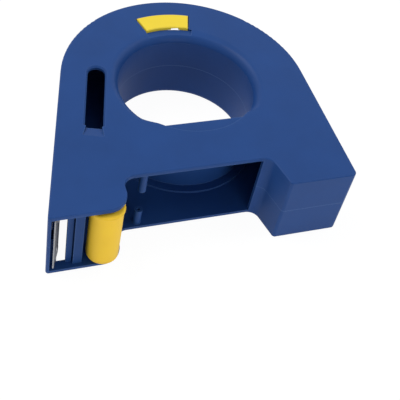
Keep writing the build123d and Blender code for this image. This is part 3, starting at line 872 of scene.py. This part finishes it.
# %% Screw rule
screws, given = new_rule("slotted_screws", [
    ("Head radius", FLOAT), ("Head height", FLOAT), ("Shank radius", FLOAT), ("Shank length", FLOAT),
    ("Slot", VECTOR), ("First place", VECTOR), ("Second place", VECTOR),
])
cone = put(screws, "GeometryNodeMeshCone", {
    "Vertices": ROUND, "Radius Bottom": given["Head radius"], "Radius Top": given["Shank radius"],
    "Depth": given["Head height"],
})
blade_slot = put(screws, "GeometryNodeMeshCube", {"Size": given["Slot"]})
cut = put(screws, "GeometryNodeMeshBoolean", {
    "Mesh 1": cone, "Mesh 2": blade_slot,
}, operation="DIFFERENCE")
into_head = maths(screws, "MULTIPLY", given["Head height"], HALF)
whole = maths(screws, "ADD", given["Shank length"], into_head)
rod = put(screws, "GeometryNodeMeshCylinder", {
    "Vertices": ROUND, "Radius": given["Shank radius"], "Depth": whole,
})
rise = maths(screws, "ADD", into_head, maths(screws, "MULTIPLY", whole, HALF))
step = vectors(screws, "SUBTRACT", given["Second place"], given["First place"])
points = put(screws, "GeometryNodeMeshLine", {
    "Count": 2, "Start Location": given["First place"], "Offset": step,
})
pair = put(screws, "GeometryNodeInstanceOnPoints", {
    "Points": points, "Instance": joined(screws, cut, upwards(screws, rod, rise)),
})
finish_rule(screws, pair, given["Material"])

# %% Slotted screws
SCREW_PLACES = ((-72.014, -71.0, -21.2), (-70.504, -65.5, -21.2))

first, second = [Vector(place) * MM for place in SCREW_PLACES]
follow(screws, "bar_screw_pair", "bar_screws", {
    "Head radius": 2.6 * MM, "Head height": 1.3 * MM, "Shank radius": 1.4 * MM, "Shank length": 7.7 * MM,
    "Slot": Vector((0.7, 3.8, 1.2)) * MM,
    "First place": first, "Second place": second, "Material": plated_steel,
})

# %% [markdown]
# ## The latch spring
# A torsion spring beside the lever presses its nose into the clip. A straight curve of many points
# is bent into a coil by the sine and cosine of the way along it. Three short lines are its legs, and
# one round profile runs along all of them, so the wire is equally thick everywhere.

# %% Coil of the spring
PIVOT = Vector((7.95, 57.5, 16.2)) * MM
COIL_R = 1.9 * MM
TURNS = 2.75
PITCH = 0.72 * MM
COIL_POINTS = 120
WIRE_SIDES = 12
LEG_OVER = 4.1 * MM
LEG_HOOK = 1.6 * MM
LEG_UP = 2.8 * MM
WIRE_R = 0.28 * MM
LATCH_TURN = math.radians(-1.5)

coil, given = new_rule("torsion_spring", [
    ("Turns", FLOAT), ("Pitch", FLOAT), ("Coil radius", FLOAT), ("Wire radius", FLOAT), ("Place", VECTOR),
])
line = put(coil, "GeometryNodeCurvePrimitiveLine", {"Start": (0, 0, 0), "End": (1, 0, 0)})
fine_line = put(coil, "GeometryNodeResampleCurve", {"Curve": line, "Count": COIL_POINTS})
way = put(coil, "GeometryNodeSplineParameter", {})
turns_so_far = maths(coil, "MULTIPLY", way, given["Turns"])
angle = maths(coil, "MULTIPLY", turns_so_far, math.tau)
bent = put(coil, "ShaderNodeCombineXYZ", {
    "X": maths(coil, "MULTIPLY", turns_so_far, given["Pitch"]),
    "Y": maths(coil, "MULTIPLY", maths(coil, "SINE", angle), given["Coil radius"]),
    "Z": maths(coil, "MULTIPLY", maths(coil, "COSINE", angle), given["Coil radius"]),
})
spiral = put(coil, "GeometryNodeSetPosition", {
    "Geometry": fine_line, "Position": vectors(coil, "ADD", bent, given["Place"]),
})

# %% Latch spring
over = PIVOT + Vector((0, 0, COIL_R))
bend = over - Vector((0, LEG_OVER, 0))
hook = bend - Vector((LEG_HOOK, 0, 0))
low_end = PIVOT + Vector((TURNS * PITCH, -COIL_R, 0))
high_end = low_end + Vector((0, 0, LEG_UP))
legs = [put(coil, "GeometryNodeCurvePrimitiveLine", {"Start": a, "End": b})
        for a, b in ((over, bend), (bend, hook), (low_end, high_end))]
ring = put(coil, "GeometryNodeCurvePrimitiveCircle", {
    "Resolution": WIRE_SIDES, "Radius": given["Wire radius"],
})
wire = put(coil, "GeometryNodeCurveToMesh", {
    "Curve": joined(coil, spiral, *legs), "Profile Curve": ring, "Fill Caps": True,
})
placed = put(coil, "GeometryNodeTransform", {"Geometry": wire, "Rotation": (0, 0, LATCH_TURN)})
finish_rule(coil, placed, given["Material"])
follow(coil, "latch_coil", "latch_spring", {
    "Turns": TURNS, "Pitch": PITCH, "Coil radius": COIL_R, "Wire radius": WIRE_R,
    "Place": PIVOT, "Material": spring_steel,
})
